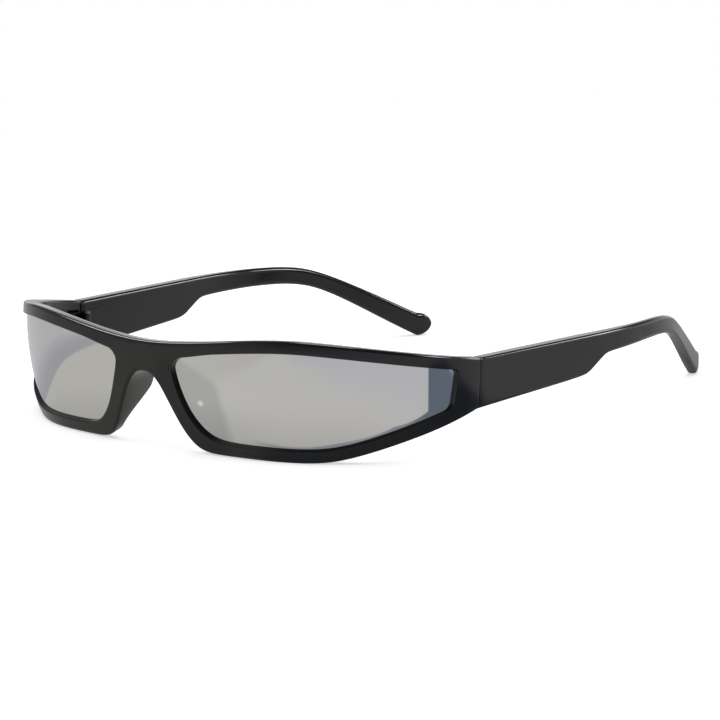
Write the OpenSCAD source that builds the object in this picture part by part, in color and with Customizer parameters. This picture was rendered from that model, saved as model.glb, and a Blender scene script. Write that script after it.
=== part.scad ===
// Wraparound sport sunglasses: one moulded front, two lenses and two folding temples.
// The front is drawn flat, as a distance u along the brow and a height h up the sheet,
// and every point is then laid on a sheet that wraps the face and is domed downward.

/* [Front sheet] */
// Radius of the front across the middle, seen from above
front_r = 176; // [150:1:230]
// Length along the brow from the centre to the start of the side wrap
front_arc = 33.5; // [28:0.5:38]
// Radius of the side wrap, seen from above
wrap_r = 47.6; // [44:0.2:52]
// Length along the brow from the start of the side wrap to the seam
side_arc = 64.8; // [60:0.1:68]
// Radius of the sheet from top to bottom
dome_r = 65; // [60:1:120]
// Height of the widest level of the sheet above the lowest rim
dome_level = 32.9; // [28:0.1:38]
// Share of the dome that is left at the seam
seam_dome = 0.5; // [0.2:0.05:1]
// Turn of the brow at which the dome starts to fade, in degrees
fade_turn = 40; // [30:1:50]
// Turn over which the dome fades, in degrees
fade_reach = 50; // [40:1:60]
// Backward lean of the whole front, in degrees
front_lean = 7.9; // [4:0.1:12]
// Thickness of the front
front_t = 4; // [3.6:0.1:5]

/* [Outline of the front] */
// Height of the brow at the centre, up the sheet
brow_mid_h = 27.8; // [25:0.1:29]
// Height of the brow over the lenses, up the sheet
brow_side_h = 32.2; // [30:0.1:34]
// Length along the brow over which it rises from the centre
brow_rise_len = 49.5; // [40:0.5:60]
// Height of the brow at the seam, up the sheet
seam_top_h = 31; // [29:0.1:32.5]
// Height of the front's lower edge at the seam, up the sheet
seam_low_h = 16.9; // [15:0.1:19]
// Height of the nose arch above the lowest rim
arch_h = 20.5; // [19:0.1:23]
// Half width of the nose arch at two fifths of its height
arch_w = 9.9; // [9:0.1:12]
// Distance along the sheet from the centre to where the lower edge turns up
low_turn_u = 59; // [54:0.5:62]
// Length over which the lower edge turns up
low_turn_len = 10; // [6:0.5:16]

/* [Lens openings] */
// Distance along the sheet from the centre to the nose end of an opening
open_nose_u = 9.6; // [8.5:0.1:11]
// Distance along the sheet from the centre to the outer end of an opening
open_end_u = 90.4; // [84:0.1:91]
// Height of the rim above an opening
rim_top = 3.3; // [2.8:0.05:4.5]
// Height of the rim below an opening at the nose side
rim_low_nose = 3.1; // [2.6:0.1:4]
// Height of the rim below an opening at its outer end
rim_low_end = 3.9; // [3.5:0.1:6]
// Distance along the sheet from the centre to where the rim below starts to grow
rim_grow_u = 40; // [30:1:50]
// Width of the rim beside the nose
rim_nose = 3.6; // [3:0.1:4.5]
// Radius of the upper corner at the nose end
nose_corner_r = 2.4; // [1.5:0.1:3.5]
// Radius of the lower corner at the nose end
nose_low_r = 3.5; // [2:0.1:5]
// Radius of the corners at the outer end
end_corner_r = 1.5; // [0.8:0.1:2.5]

/* [Edges and pads] */
// Radius of the outer edges of the front
edge_r = 0.9; // [0.5:0.05:1.2]
// Radius of the edges round the openings
open_edge_r = 0.35; // [0.2:0.05:0.5]
// Chamfer of the front at the seam
seam_edge = 0.25; // [0.1:0.05:0.4]
// Distance that the nose pads stand out behind the front
pad_depth = 6.4; // [4:0.1:8]
// Thickness of a nose pad
pad_t = 2.6; // [2.2:0.1:3.2]
// Sideways spread of a nose pad for each millimetre of its depth
pad_spread = 0.16; // [0:0.01:0.4]
// Part of the rim beside the nose over which a pad rises
pad_rise = 0.46; // [0.3:0.02:0.5]
// Part of the rim beside the nose over which a pad keeps its full depth
pad_hold = 0.1; // [0:0.02:0.14]
// Part of the rim beside the nose over which a pad falls away again
pad_fall = 0.28; // [0.24:0.02:0.34]

/* [Lenses] */
// Thickness of a lens
lens_t = 1.3; // [1:0.05:1.4]
// Distance from the front face of the rim back to the lens at the middle of the front
lens_recess = 2.1; // [1.6:0.05:2.3]
// The same distance at the outer end of an opening
end_recess = 1.1; // [0.9:0.05:2.2]
// Depth of the groove that holds a lens
groove_depth = 0.9; // [0.6:0.05:1.1]
// Clearance between a lens and its groove
lens_gap = 0.05; // [0.03:0.01:0.1]

/* [Temples] */
// Clearance between the front and a temple at the seam
seam_gap = 0.15; // [0.1:0.01:0.3]
// Outward splay of the straight part of a temple, in degrees
splay = 1.9; // [0:0.1:4]
// Length of the straight part of a temple
straight_len = 46.5; // [40:0.5:60]
// Radius of the inward curve of a temple, seen from above
inward_r = 118; // [100:1:180]
// Distance from the seam to the end of the inward curve, straight from there to the tip
curve_end = 100; // [90:0.5:110]
// Length of a temple along its plan, from seam to tip
temple_len = 134.2; // [130:0.2:140]
// Distance from the seam to the foot of the step under a temple
step_start = 43.8; // [36:0.2:46]
// Length of the step under a temple
step_len = 10; // [6:0.2:12]
// Rise of a temple's lower edge from the seam to the step
slab_rise = 2.6; // [0:0.1:4]
// Height of the slim arm
arm_h = 4.6; // [3.6:0.1:5.5]
// Height of the arm at its tip
tip_h = 6.7; // [5:0.1:7.5]
// Thickness of the slim arm
arm_t = 2.8; // [2.4:0.1:4]
// Thickness of the tip
tip_t = 3.1; // [2.7:0.1:4.5]
// Length over which the thickness of a temple changes
thick_len = 30; // [20:1:36]
// Distance from the seam to the middle of the ear bend
ear_bend_s = 93.5; // [86:0.5:98]
// Length over which the ear bend turns
ear_bend_len = 10; // [5:0.5:14]
// Length of the rounded end of the tip
tip_round = 3.6; // [3:0.1:5.5]
// Radius of the long edges of a temple
temple_edge_r = 1; // [0.5:0.05:1.3]

/* [Hinges] */
// Height of the hinge's middle above the middle of the seam
hinge_rise = 0.2; // [-1:0.1:1]
// Radius of the hinge barrel
barrel_r = 1.5; // [1.3:0.05:1.7]
// Radius of the hinge screw's shank
pin_r = 0.7; // [0.5:0.05:0.8]
// Radial running clearance round the screw's shank
pin_gap = 0.04; // [0.02:0.01:0.09]
// Height of the temple's knuckle
mid_knuckle_h = 2.8; // [2.2:0.1:3.2]
// Height of each of the front's two knuckles
end_knuckle_h = 2; // [1.5:0.1:2.2]
// Gap between neighbouring knuckles
knuckle_gap = 0.06; // [0.03:0.01:0.1]
// Gap between the barrel and the plastic beside it
barrel_gap = 0.15; // [0.1:0.01:0.3]
// Length of a temple's hinge leaf
leaf_len = 8.5; // [7:0.1:10]
// Plastic left between the front's hinge leaf and the lens groove
leaf_room = 0.9; // [0.6:0.1:1.5]
// Height of a leaf above and below its knuckles
leaf_over = 0.15; // [0.1:0.05:0.4]
// Thickness of a hinge leaf
leaf_t = 0.9; // [0.7:0.05:1.1]
// Clearance round a leaf in its pocket
leaf_gap = 0.05; // [0.03:0.01:0.1]
// Radius of the screw's head
head_r = 1.25; // [1:0.05:1.4]
// Height of the screw's head
head_h = 0.7; // [0.5:0.05:0.9]
// Width of the slot in the screw's head
slot_w = 0.35; // [0.25:0.05:0.5]

/* [Hidden] */

// Numbers of steps along each stretch of the rim, counted round one opening
bridge_steps = 5;
flank_steps = 13;
low_steps = 24;
end_steps = bridge_steps;
brow_steps = flank_steps + low_steps;
// Number of raw points on each curve before it is spaced evenly
raw_steps = 48;

function smooth(x) = let (t = min(1, max(0, x))) t * t * (3 - 2 * t);
function mix(a, b, f) = a + (b - a) * f;
// A line that turns softly from level to a rise of x for each x, over a length w
function soft_ramp(x, w) = (x + sqrt(x * x + w * w)) / 2;

// Sheet: the plan curve at the brow's level, as x, y and heading in degrees
side_u = front_arc + side_arc;
front_turn = front_arc / front_r * 180 / PI;
function heading(u) = min(u, front_arc) / front_r * 180 / PI + max(u - front_arc, 0) / wrap_r * 180 / PI;
function plan(u) =
    let (a = min(heading(u), front_turn), b = heading(u))
    [front_r * sin(a) + wrap_r * (sin(b) - sin(a)),
     front_r * (1 - cos(a)) + wrap_r * (cos(a) - cos(b))];
// Share of the dome that is left at a heading
function dome_share(u) = 1 - (1 - seam_dome) * smooth((heading(u) - fade_turn) / fade_reach);
// Point of the sheet at u and h, at a depth d behind its front face
function sheet_raw(u, h, d) =
    let (p = plan(u))
    let (share = dome_share(u))
    let (away = h - dome_level)
    let (fall = atan(-away / dome_r * share))
    let (out = -away * away / (2 * dome_r) * share - d * cos(fall))
    let (y = p[1] - cos(heading(u)) * out)
    let (z = h + d * sin(fall))
    [p[0] + sin(heading(u)) * out,
     y * cos(front_lean) + z * sin(front_lean),
     z * cos(front_lean) - y * sin(front_lean)];

// Lower edge and brow of the front, as heights at u
function brow_h(u) =
    mix(brow_mid_h, brow_side_h, smooth(u / brow_rise_len))
    + (seam_top_h - brow_side_h) * smooth((u - brow_rise_len) / (side_u - brow_rise_len));
function nose_bell(u) = exp(-pow(u / arch_w, 2));
function low_h(u) =
    arch_h * nose_bell(u)
    + seam_low_h * soft_ramp(u - low_turn_u, low_turn_len) / soft_ramp(side_u - low_turn_u, low_turn_len);

// Opening: heights of its upper and lower edge at u, grown outward by g
function open_top_h(u) = brow_h(u) - rim_top;
function rim_low(u) = mix(rim_low_nose, rim_low_end, smooth((u - rim_grow_u) / (open_end_u - rim_grow_u)));
function open_low_h(u) =
    low_h(u) - arch_h * nose_bell(u) + rim_low(u)
    + arch_h * nose_bell(max(0, u - rim_nose));
function corner_drop(x, r) = x >= r ? 0 : r - sqrt(max(0, r * r - pow(r - x, 2)));
function top_edge(u) =
    [u, open_top_h(u) - corner_drop(u - open_nose_u, nose_corner_r)
        - corner_drop(open_end_u - u, end_corner_r)];
function low_edge(u) =
    [u, open_low_h(u) + corner_drop(u - open_nose_u, nose_low_r)
        + corner_drop(open_end_u - u, end_corner_r)];

// Even spacing of n steps along a path, both ends included
function step_after(path, i) = i + 1 < len(path) ? norm(path[i + 1] - path[i]) : 0;
function run(path) = [for (i = 0, s = 0; i < len(path); s = s + step_after(path, i), i = i + 1) s];
function even(path, n) =
    let (s = run(path))
    let (keys = [for (i = [0 : len(path) - 1]) i])
    let (total = s[len(s) - 1])
    let (us = [for (i = keys) [s[i], path[i][0]]])
    let (hs = [for (i = keys) [s[i], path[i][1]]])
    [for (i = [0 : n]) [lookup(total * i / n, us), lookup(total * i / n, hs)]];
// Raw points between two values of u, closer together near the first and the last
function ease(a, b, i) = mix(a, b, (1 - cos(180 * i / raw_steps)) / 2);
raw = [for (i = [0 : raw_steps]) i];

// The five stretches of the opening, all read away from the brow's nose corner
corner_share = 1 - cos(45);
nose_split_u = open_nose_u + nose_corner_r * corner_share;
end_split_u = open_end_u - end_corner_r * corner_share;
// Where the flank beside the nose ends, on the opening and on the outer outline
flank_u = 20;
flank_out_u = 18;
// Straight stretch below the upper nose corner
flank_straight = 0.8;
flank_top_h = open_top_h(open_nose_u) - nose_corner_r - flank_straight;
brow_in = even([for (i = raw) top_edge(ease(nose_split_u, end_split_u, i))], brow_steps);
bridge_in = even(concat([for (i = raw) top_edge(ease(nose_split_u, open_nose_u, i))],
                        [[open_nose_u, flank_top_h]]), bridge_steps);
flank_in = even(concat([[open_nose_u, flank_top_h]],
                       [for (i = raw) low_edge(ease(open_nose_u, flank_u, i))]), flank_steps);
low_in = even([for (i = raw) low_edge(ease(flank_u, end_split_u, i))], low_steps);
end_in = even(concat([for (i = raw) low_edge(ease(end_split_u, open_end_u, i))],
                     [for (i = raw) top_edge(ease(open_end_u, end_split_u, i))]), end_steps);

// Points of the seam: where the sheet meets the plane across the temples
seam_y = sheet_raw(side_u, seam_top_h, 0)[1];
seam_tries = 5;
function seam_u(h, u = side_u, n = seam_tries) =
    n == 0 ? u : seam_u(h, u + seam_y - sheet_raw(u, h, 0)[1], n - 1);

// The same stretches of the outer outline
brow_out = even([for (i = raw) let (u = ease(0, side_u, i)) [u, brow_h(u)]], brow_steps);
bridge_out = [for (t = [0, corner_share * edge_r, edge_r]) [0, brow_mid_h - t],
              for (t = [edge_r, corner_share * edge_r, 0]) [0, low_h(0) + t]];
flank_out = even([for (i = raw) let (u = ease(0, flank_out_u, i)) [u, low_h(u)]], flank_steps);
low_end_u = seam_u(low_h(seam_u(seam_low_h)));
low_out = even([for (i = raw) let (u = ease(flank_out_u, low_end_u, i)) [u, low_h(u)]], low_steps);
low_corner_h = low_h(low_end_u);
end_out = even([for (i = [0 : end_steps]) let (h = mix(low_corner_h, seam_top_h, i / end_steps))
                [seam_u(h), h]], end_steps);

// One closed loop of matched points round the opening: bridge, flank, lower rim, end, brow
function closed(bridge, flank, low, end, brow) =
    concat([for (i = [0 : bridge_steps - 1]) bridge[i]],
           [for (i = [0 : flank_steps - 1]) flank[i]],
           [for (i = [0 : low_steps - 1]) low[i]],
           [for (i = [0 : end_steps - 1]) end[i]],
           [for (i = [0 : brow_steps - 1]) brow[brow_steps - i]]);
loop_in = closed(bridge_in, flank_in, low_in, end_in, brow_in);
loop_out = closed(bridge_out, flank_out, low_out, end_out, brow_out);
ring_n = len(loop_in);
flank_first = bridge_steps;
end_first = bridge_steps + flank_steps + low_steps;

// Nose pad: share of the full depth at each place round the ring
function pad_share(i) =
    let (f = (i - flank_first) / flank_steps)
    smooth(f / pad_rise) * (1 - smooth((f - pad_rise - pad_hold) / pad_fall));
// Radius of the outer edge at each place round the ring
function outer_r(i) = i > end_first && i < end_first + end_steps ? seam_edge : edge_r;

// Flat strip beside the rim's rear edge, and the rounded strip beside a pad's
rim_strip = 0.2;
pad_strip = 0.6;
// Foot of a pad beside the opening, as shares of the pad's lean and depth
foot_lean = 1 / 3;
foot_depth = 1 / 12;

// Depth at u of the front wall of the groove
function recess(u) = mix(lens_recess, end_recess, u / open_end_u);
// Section of the front at one place round the ring, as distance in from the outer outline
// and depth behind the front face. On the bridge its outer end lies on the middle plane,
// where the edge's round is followed in height instead.
function on_bridge(i) = i > 0 && i < bridge_steps;
function bridge_round(i) = i == 1 || i == bridge_steps - 1 ? corner_share * edge_r : 0;
function outer_front(i, r) =
    on_bridge(i)
    ? let (d = bridge_round(i)) [[0, d], [corner_share * r, d], [r, d / 2]]
    : [[0, r], [corner_share * r, corner_share * r], [r, 0]];
function outer_back(i, r, lean, back) =
    on_bridge(i)
    ? let (d = bridge_round(i)) [[r, back - d / 2], [corner_share * r, back - d], [0, back - d]]
    : [[lean + r, back], [lean + corner_share * r, back - corner_share * r], [lean, back - r]];
function section(i, width) =
    let (r = outer_r(i), q = open_edge_r, k = corner_share, w = width)
    let (groove_front = recess(loop_in[i][0]), groove_back = groove_front + lens_t + 2 * lens_gap)
    let (pad = pad_depth * pad_share(i), back = front_t + pad, lean = pad * pad_spread)
    concat(outer_front(i, r),
           [[w - q, 0], [w - k * q, k * q], [w, q],
            [w, groove_front], [w - groove_depth, groove_front],
            [w - groove_depth, groove_back], [w, groove_back],
            [w, front_t - q], [w - q, front_t],
            [mix(w / 2, min(w / 2, pad_t), pad_share(i)) + lean * foot_lean, front_t + pad * foot_depth],
            [lean + mix(r + rim_strip, pad_t - pad_strip, pad_share(i)), back]],
           outer_back(i, r, lean, back));
section_n = len(section(0, front_t));

front_raw = [for (i = [0 : ring_n - 1])
    let (a = loop_out[i], b = loop_in[i])
    let (width = norm(b - a), e = (b - a) / width)
    [for (p = section(i, width)) let (q = a + e * p[0]) sheet_raw(q[0], q[1], p[1])]];

// The ground is the level of the lowest rim
front_drop = min([for (s = front_raw) for (p = s) p[2]]);
function sheet(u, h, d) = sheet_raw(u, h, d) - [0, 0, front_drop];

// Temple: plan of the outer face as x, y and inward heading at a distance s from the seam
seam_out = sheet(side_u, seam_top_h, 0);
seam_low = sheet(low_end_u, low_corner_h, 0);
temple_y = seam_y + seam_gap;
function temple_heading(s) =
    max(0, min(s, curve_end) - straight_len) / inward_r * 180 / PI - splay;
function temple_plan(s) =
    let (a = min(s, straight_len), b = max(0, s - curve_end), t = temple_heading(s))
    [seam_out[0] + a * sin(splay) + inward_r * (cos(t) - cos(splay)) - b * sin(t),
     temple_y + a * cos(splay) + inward_r * (sin(t) + sin(splay)) + b * cos(t)];

// Upper and lower edge of a temple
tip_s = temple_len - tip_round;
ear_reach = soft_ramp(tip_s - ear_bend_s, ear_bend_len);
ear_slope = (seam_out[2] - tip_h) / ear_reach;
function temple_top(s) = seam_out[2] - ear_slope * soft_ramp(s - ear_bend_s, ear_bend_len);
function arm_height(s) = mix(arm_h, tip_h, smooth((s - ear_bend_s) / (tip_s - ear_bend_s)));
// Softness of both ends of the step, as a share of its length
step_soft = 0.2;
function step_share(s) =
    let (x = (s - step_start) / step_len)
    soft_ramp(x, step_soft) - soft_ramp(x - 1, step_soft);
function temple_low(s) =
    mix(seam_low[2] + slab_rise * s / step_start, temple_top(s) - arm_height(s), step_share(s));
function temple_thick(s) =
    let (arm = mix(front_t, arm_t, smooth((s - step_start) / thick_len)))
    mix(arm, tip_t, smooth((s - ear_bend_s) / thick_len));
// Inward lean of the temple's face, which fades out behind the seam
function temple_lean(s, z) =
    (seam_out[0] - seam_low[0]) * (seam_out[2] - z) / (seam_out[2] - seam_low[2])
    * (1 - smooth(s / step_start));

// Share of the thickness that is left at the very end of the tip
tip_pinch = 0.45;
// Largest shares of the half height and of the thickness that an edge's round may take
edge_share_h = 0.8;
edge_share_t = 0.4;

// Section of a temple at s, closed up by a share c at the rounded tip
function temple_section(s, c) =
    let (p = temple_plan(s), t = temple_heading(s))
    let (level_s = min(s, tip_s), top = temple_top(level_s), low = temple_low(level_s))
    let (mid = (top + low) / 2, half = (top - low) / 2 * c)
    let (thick = temple_thick(s) * mix(tip_pinch, 1, c), side = (temple_thick(s) - thick) / 2)
    let (r = min(temple_edge_r, half * edge_share_h, thick * edge_share_t), k = corner_share * r)
    let (sec = [[0, half - r], [k, half - k], [r, half],
                [thick - r, half], [thick - k, half - k], [thick, half - r],
                [thick, r - half], [thick - k, k - half], [thick - r, -half],
                [r, -half], [k, k - half], [0, r - half]])
    [for (q = sec) let (z = mid + q[1], b = q[0] + side + temple_lean(s, z))
     [p[0] - cos(t) * b, p[1] - sin(t) * b, z]];

// Numbers of steps along a temple, and how far the close steps reach past each bend
slab_steps = 7;
step_steps = 9;
arm_steps = 5;
ear_steps = 9;
drop_steps = 6;
cap_steps = 7;
step_ease = 1.6;
ear_ease = 14;
function stretch(a, b, n) = [for (i = [0 : n - 1]) mix(a, b, i / n)];
temple_stations = concat(
    stretch(0, step_start - step_ease, slab_steps),
    stretch(step_start - step_ease, step_start + step_len + step_ease, step_steps),
    stretch(step_start + step_len + step_ease, ear_bend_s - ear_ease, arm_steps),
    stretch(ear_bend_s - ear_ease, ear_bend_s + ear_ease, ear_steps),
    stretch(ear_bend_s + ear_ease, tip_s, drop_steps));
// Turn of the tip's round from its side to its small flat end, in degrees
cap_turn = 80;
cap_angles = [for (i = [0 : cap_steps]) cap_turn * i / cap_steps];
temple_sections = concat(
    [for (s = temple_stations) temple_section(s, 1)],
    [for (a = cap_angles) temple_section(tip_s + tip_round * sin(a) / sin(cap_turn), cos(a))]);

// The origin is under the middle of the whole object
front_low_y = min([for (s = front_raw) for (p = s) p[1]]);
temple_far_y = max([for (s = temple_sections) for (p = s) p[1]]);
middle_y = (front_low_y + temple_far_y) / 2;

// Mesh helpers: rings of points to one closed body
function flat(lists) = [for (list = lists) for (p = list) p];
function mirrored(points) = [for (p = points) [-p[0], p[1], p[2]]];
function turned(faces, shift) = [for (f = faces) [f[2] + shift, f[1] + shift, f[0] + shift]];

module place() {
    translate([0, -middle_y, -front_drop]) children();
}

module place_temple() {
    translate([0, -middle_y, 0]) children();
}

// Both sides of the front share the plane through the bridge, where no faces are made
front_points = flat(front_raw);
front_faces = [for (i = [0 : ring_n - 1]) for (j = [0 : section_n - 1])
    if (!(i < bridge_steps && j == section_n - 1))
    let (i2 = (i + 1) % ring_n, j2 = (j + 1) % section_n)
    let (a = i * section_n + j, b = i * section_n + j2, c = i2 * section_n + j, d = i2 * section_n + j2)
    each [[a, b, c], [b, d, c]]];

// Lens: a grid of columns from the brow down, its edges in the groove
edge_reach = groove_depth - lens_gap;
function lens_edge(i) =
    let (a = loop_out[i % ring_n], b = loop_in[i % ring_n])
    b + (a - b) / norm(a - b) * edge_reach;
function lens_place(j, k) =
    j == 0 ? lens_edge(k)
    : j == brow_steps ? lens_edge(end_first + end_steps - k)
    : mix(lens_edge(ring_n - j), lens_edge(flank_first + j), k / bridge_steps);
lens_columns = brow_steps + 1;
lens_rows = bridge_steps + 1;
// Face of the lens at a depth behind the front wall of its groove
function lens_face(depth) =
    [for (j = [0 : brow_steps]) for (k = [0 : bridge_steps])
     let (q = lens_place(j, k)) sheet_raw(q[0], q[1], recess(q[0]) + depth)];
function quad(a, b, c, d) = [[a, b, c], [a, c, d]];
// Closed slab between two matching grids of points, columns by rows
function slab_faces(columns, rows) =
    let (far = columns - 1, last = rows - 1)
    let (front = function (j, k) j * rows + k)
    let (back = function (j, k) (columns + j) * rows + k)
    [for (j = [0 : far - 1]) for (k = [0 : last - 1])
        each concat(quad(front(j, k), front(j + 1, k), front(j + 1, k + 1), front(j, k + 1)),
                    quad(back(j, k), back(j, k + 1), back(j + 1, k + 1), back(j + 1, k))),
     for (j = [0 : far - 1])
        each concat(quad(front(j, 0), back(j, 0), back(j + 1, 0), front(j + 1, 0)),
                    quad(front(j, last), front(j + 1, last), back(j + 1, last), back(j, last))),
     for (k = [0 : last - 1])
        each concat(quad(front(0, k), front(0, k + 1), back(0, k + 1), back(0, k)),
                    quad(front(far, k), back(far, k), back(far, k + 1), front(far, k + 1)))];

module lens() {
    place()
        polyhedron(points = concat(lens_face(lens_gap), lens_face(lens_gap + lens_t)),
                   faces = slab_faces(lens_columns, lens_rows));
}

// Temple: its sections joined into one body
temple_n = len(temple_sections[0]);
temple_count = len(temple_sections);
temple_faces = concat(
    [[for (j = [temple_n - 1 : -1 : 0]) j]],
    [for (i = [0 : temple_count - 2]) for (j = [0 : temple_n - 1])
     let (a = i * temple_n + j, b = i * temple_n + (j + 1) % temple_n)
     each [[a, b, a + temple_n], [b, b + temple_n, a + temple_n]]],
    [[for (j = [0 : temple_n - 1]) (temple_count - 1) * temple_n + j]]);

module temple_body() {
    place_temple() polyhedron(points = flat(temple_sections), faces = temple_faces);
}

// Hinge: its axis stands beside the inner face at the middle of the seam
hinge_z = (seam_out[2] + seam_low[2]) / 2 + hinge_rise;
hinge_share = (seam_out[2] - hinge_z) / (seam_out[2] - seam_low[2]);
axis_inset = barrel_r + barrel_gap;
axis_x = mix(seam_out[0], seam_low[0], hinge_share) - front_t - axis_inset;
axis_y = seam_y + seam_gap / 2 - middle_y;
stack_h = 2 * end_knuckle_h + mid_knuckle_h + 2 * knuckle_gap;
stack_low = hinge_z - stack_h / 2;
mid_low = stack_low + end_knuckle_h + knuckle_gap;
bore_r = pin_r + pin_gap;
// The front's leaf ends before the lens groove and follows the chord of the wrapped inner face
front_leaf_len = side_u - open_end_u - groove_depth - leaf_room;
front_leaf_turn = front_leaf_len / (wrap_r - front_t) * 90 / PI;

module at_axis(z) {
    translate([axis_x, axis_y, z]) children();
}

// Distance that a pocket's cut reaches out of the inner face
pocket_open = barrel_r;
// Neck from the barrel's wall to the leaf: its side, start, width and length
neck_side = (bore_r + barrel_r) / 2;
neck_start = 2 * seam_gap;
neck_w = axis_inset + leaf_t / 2 - neck_side;
neck_len = 2 * barrel_r;
// Depth to which the slot between the knuckles cuts into the leaf
slot_bite = leaf_t / 3;

// Leaf, knuckle and slot are drawn for a hinge half that runs toward +Y
module leaf(len, turn) {
    rotate([0, 0, turn])
        translate([axis_inset, seam_gap, -leaf_over])
            cube([leaf_t, len, stack_h + 2 * leaf_over]);
}

// Pocket for a leaf, open on the inner side
module pocket(len, turn) {
    rotate([0, 0, turn])
        translate([axis_inset - pocket_open, seam_gap - leaf_gap, -leaf_over - leaf_gap])
            cube([pocket_open + leaf_t + leaf_gap, len + 2 * leaf_gap,
                  stack_h + 2 * leaf_over + 2 * leaf_gap]);
}

module knuckle(z, h, turn) {
    translate([0, 0, z])
        linear_extrude(h)
            difference() {
                union() {
                    circle(r = barrel_r, $fn = 48);
                    rotate(turn) translate([neck_side, neck_start]) square([neck_w, neck_len]);
                }
                circle(r = bore_r, $fn = 48);
            }
}

// Room between the front's knuckles for the temple's knuckle
module knuckle_slot(turn) {
    rotate([0, 0, turn])
        translate([-2 * barrel_r, -2 * barrel_r, end_knuckle_h])
            cube([2 * barrel_r + axis_inset + slot_bite, 3 * barrel_r + neck_len,
                  mid_knuckle_h + 2 * knuckle_gap]);
}

module front_hinge() {
    at_axis(stack_low)
        mirror([0, 1, 0])
            difference() {
                union() {
                    leaf(front_leaf_len, front_leaf_turn);
                    knuckle(0, stack_h, front_leaf_turn);
                }
                knuckle_slot(front_leaf_turn);
            }
}

module temple_hinge() {
    at_axis(stack_low) {
        leaf(leaf_len, -splay);
        knuckle(mid_low - stack_low, mid_knuckle_h, -splay);
    }
}

// Half the length of the cut for the slot, past the edge of the head
slot_reach = head_r + slot_w;
module hinge_screw() {
    at_axis(stack_low)
        difference() {
            union() {
                cylinder(r = pin_r, h = stack_h + head_h / 2, $fn = 48);
                translate([0, 0, stack_h]) cylinder(r = head_r, h = head_h, $fn = 48);
            }
            translate([-slot_reach, -slot_w / 2, stack_h + head_h / 2])
                cube([2 * slot_reach, slot_w, head_h]);
        }
}

module other_side() {
    mirror([1, 0, 0]) children();
}

module front_pocket() {
    at_axis(stack_low) mirror([0, 1, 0]) pocket(front_leaf_len, front_leaf_turn);
}

module front_frame() {
    color("#1c1c1e")
        difference() {
            place()
                polyhedron(points = concat(front_points, mirrored(front_points)),
                           faces = concat(front_faces, turned(front_faces, len(front_points))));
            front_pocket();
            other_side() front_pocket();
        }
}

module lens_left() {
    color("#b8b6b0") lens();
}

module lens_right() {
    color("#b8b6b0") other_side() lens();
}

module temple() {
    color("#1c1c1e")
        difference() {
            temple_body();
            at_axis(stack_low) pocket(leaf_len, -splay);
        }
}

module temple_left() {
    temple();
}

module temple_right() {
    other_side() temple();
}

module front_hinge_left() {
    color("#9a9a9c") front_hinge();
}

module front_hinge_right() {
    color("#9a9a9c") other_side() front_hinge();
}

module temple_hinge_left() {
    color("#9a9a9c") temple_hinge();
}

module temple_hinge_right() {
    color("#9a9a9c") other_side() temple_hinge();
}

module hinge_screw_left() {
    color("#c8c8ca") hinge_screw();
}

module hinge_screw_right() {
    color("#c8c8ca") other_side() hinge_screw();
}

front_frame();
lens_left();
lens_right();
temple_left();
temple_right();
front_hinge_left();
front_hinge_right();
temple_hinge_left();
temple_hinge_right();
hinge_screw_left();
hinge_screw_right();
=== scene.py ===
import math

import bmesh
import bpy
import numpy as np
from mathutils import Matrix, Vector


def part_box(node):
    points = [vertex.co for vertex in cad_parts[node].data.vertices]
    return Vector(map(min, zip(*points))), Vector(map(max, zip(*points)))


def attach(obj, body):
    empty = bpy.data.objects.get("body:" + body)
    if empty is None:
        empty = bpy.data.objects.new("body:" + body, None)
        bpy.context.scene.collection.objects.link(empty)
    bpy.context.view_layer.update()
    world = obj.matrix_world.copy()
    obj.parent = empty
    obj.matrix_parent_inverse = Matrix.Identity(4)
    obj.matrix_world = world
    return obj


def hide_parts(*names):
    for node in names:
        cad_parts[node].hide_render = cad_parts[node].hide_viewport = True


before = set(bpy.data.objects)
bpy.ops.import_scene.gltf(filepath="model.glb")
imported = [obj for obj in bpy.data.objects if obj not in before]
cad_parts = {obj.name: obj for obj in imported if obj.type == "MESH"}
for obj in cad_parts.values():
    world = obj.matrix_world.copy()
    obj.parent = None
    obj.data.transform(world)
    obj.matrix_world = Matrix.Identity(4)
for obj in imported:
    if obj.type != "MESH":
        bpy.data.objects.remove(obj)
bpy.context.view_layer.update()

MM = 0.001

# The front, in millimetres: a sheet that wraps the face, u along the brow and h up the sheet.
# In plan it has one radius at the middle and a smaller one at the side
FRONT_R = 176.0
FRONT_ARC = 33.5
WRAP_R = 47.6
SIDE_ARC = 64.8
SIDE_U = FRONT_ARC + SIDE_ARC
# Half of the length over which one radius turns into the other
TURN_SOFT = 5.0
# Radius of the dome up the sheet, the height where it is furthest out, and its share left at the seam
DOME_R = 65.0
DOME_LEVEL = 32.9
SEAM_DOME = 0.5
# Turn of the sheet where the dome starts to fade, and the further turn over which it fades
FADE_TURN = math.radians(40)
FADE_REACH = math.radians(50)
FRONT_LEAN = math.radians(7.9)
FRONT_T = 4.0

# Its outline: the brow, the lower edge, and the arch over the nose as a height and a half width
BROW_MID_H = 27.8
BROW_SIDE_H = 32.2
BROW_RISE_LEN = 49.5
SEAM_TOP_H = 31.0
SEAM_LOW_H = 16.9
LOW_TURN_U = 59.0
LOW_TURN_LEN = 10.0
ARCH_H = 19.5
ARCH_W = 10.6
ARCH_POWER = 2.5

# Its opening: the two ends, the arch above the pad, the widths of the rim and the corners
OPEN_NOSE_U = 9.6
OPEN_END_U = 90.4
OPEN_ARCH_H = 20.5
OPEN_ARCH_W = 9.9
RIM_TOP_NOSE = 4.1
RIM_TOP = 3.3
RIM_TOP_LEN = 14.0
RIM_LOW_NOSE = 3.1
RIM_LOW_END = 3.9
RIM_GROW_U = 40.0
RIM_NOSE = 3.6
NOSE_CORNER_R = 3.2
NOSE_LOW_R = 5.0
END_CORNER_R = 1.5

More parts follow.
